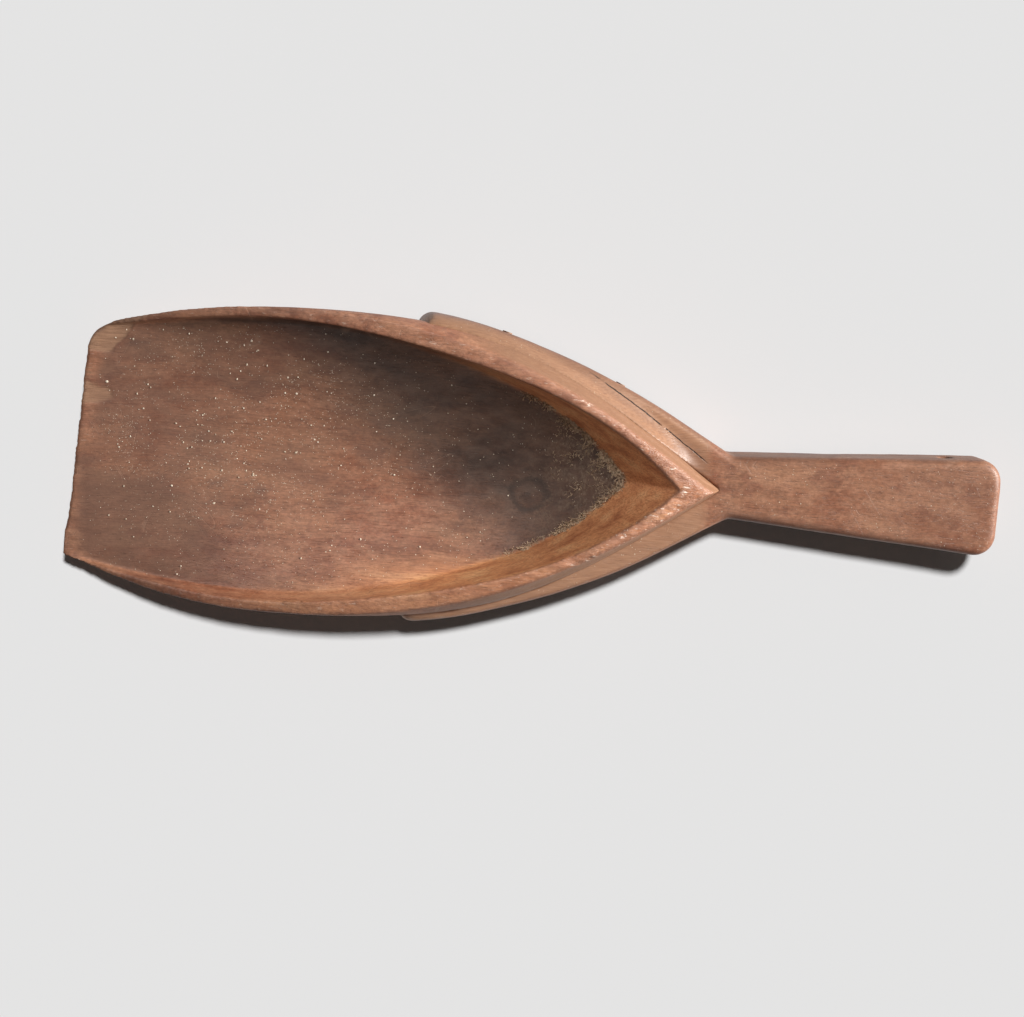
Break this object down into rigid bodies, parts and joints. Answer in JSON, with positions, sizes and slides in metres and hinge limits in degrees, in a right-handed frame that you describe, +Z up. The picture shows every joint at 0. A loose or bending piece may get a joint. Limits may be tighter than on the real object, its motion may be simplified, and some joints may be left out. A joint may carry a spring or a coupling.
{
  "type": "feed scoop",
  "caption": "Carved wooden scoop for grain or feed: an open-mouthed leaf-shaped bowl pegged into the fork of a broad handle that ends in a hanging hole.",
  "frame": {"origin": "middle of the overall box, on the surface the scoop stands on", "axes": "+X from the mouth to the handle, +Y to the scoop's far side as seen in the picture, +Z up with the bowl open upwards"},
  "size_m": [0.4721, 0.1558, 0.0523],
  "materials": {
    "bowl_wood": "worn, oiled, dusty inside",
    "yoke_wood": "hand-polished by use",
    "peg_wood": "bare end grain"
  },
  "bodies": {
    "root": {"bowl": "bowl_wood", "yoke_handle": "yoke_wood", "peg_far_front": "peg_wood", "peg_far_rear": "peg_wood", "peg_near_front": "peg_wood", "peg_near_rear": "peg_wood", "peg_throat": "peg_wood"}
  },
  "joints": []
}
